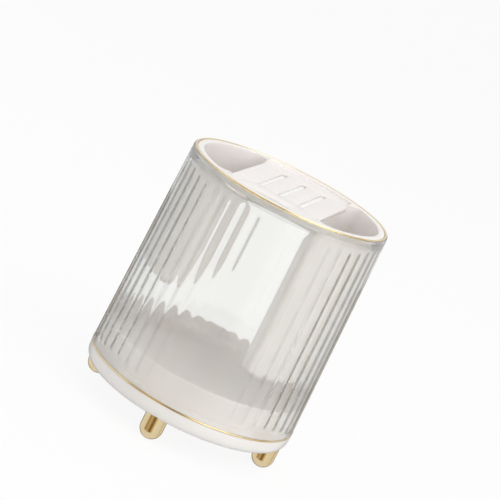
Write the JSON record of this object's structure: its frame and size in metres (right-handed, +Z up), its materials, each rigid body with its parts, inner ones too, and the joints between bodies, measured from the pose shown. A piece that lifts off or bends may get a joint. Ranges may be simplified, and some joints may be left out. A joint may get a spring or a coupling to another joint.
{
  "type": "rotating knife block",
  "caption": "Clear fluted cylindrical knife and utensil holder that turns on a low round base with domed feet; white lift-out insert with slots and side tubs.",
  "frame": {"origin": "on the surface the feet stand on, below the middle of the base", "axes": "+Z up along the turning axis; the knife slots run along Y; the deep tub is on +X"},
  "size_m": [0.2, 0.2, 0.237],
  "materials": {
    "clear_shell": "clear moulded plastic, polished, faint grey-green in the thickness",
    "white_base": "warm white moulded plastic, soft gloss",
    "white_drum": "warm white moulded plastic, soft gloss",
    "white_insert": "bright white moulded plastic, soft gloss",
    "gold": "polished champagne gold plating",
    "steel": "zinc plated steel",
    "ball_steel": "polished bearing steel",
    "nylon": "natural nylon"
  },
  "bodies": {
    "base": {"base_pan": "white_base", "base_cover": "white_base", "base_trim_ring": "gold", "foot_front": "gold", "foot_left": "gold", "foot_rear": "gold", "foot_right": "gold", "foot_screws": "steel", "cover_screws": "steel", "lower_race": "steel", "lower_race_screws": "steel", "pivot_pin": "steel", "thrust_washer": "steel", "retaining_clip": "steel"},
    "bearing_cage": {"ball_cage": "nylon", "bearing_balls": "ball_steel"},
    "carousel": {"upper_race": "steel", "upper_race_screws": "steel", "turntable_plate": "steel", "pivot_bush": "nylon", "drum_tray": "white_drum", "fluted_shell": "clear_shell", "top_trim_ring": "gold"},
    "insert": {"knife_deck": "white_insert", "cutlery_tub": "white_insert", "utensil_tub": "white_insert"}
  },
  "joints": [
    {"name": "carousel_spin", "type": "hinge", "parent": "base", "child": "carousel", "pos_m": [0, 0, 0], "axis": [0, 0, 1], "continuous": true},
    {"name": "cage_roll", "type": "hinge", "parent": "base", "child": "bearing_cage", "pos_m": [0, 0, 0], "axis": [0, 0, 1], "continuous": true},
    {"name": "insert_lift", "type": "slide", "parent": "carousel", "child": "insert", "axis": [0, 0, 1], "range_m": [0, 0.16]}
  ],
  "couplings": [
    {"joint": "cage_roll", "follows": "carousel_spin", "ratio": 0.5}
  ]
}
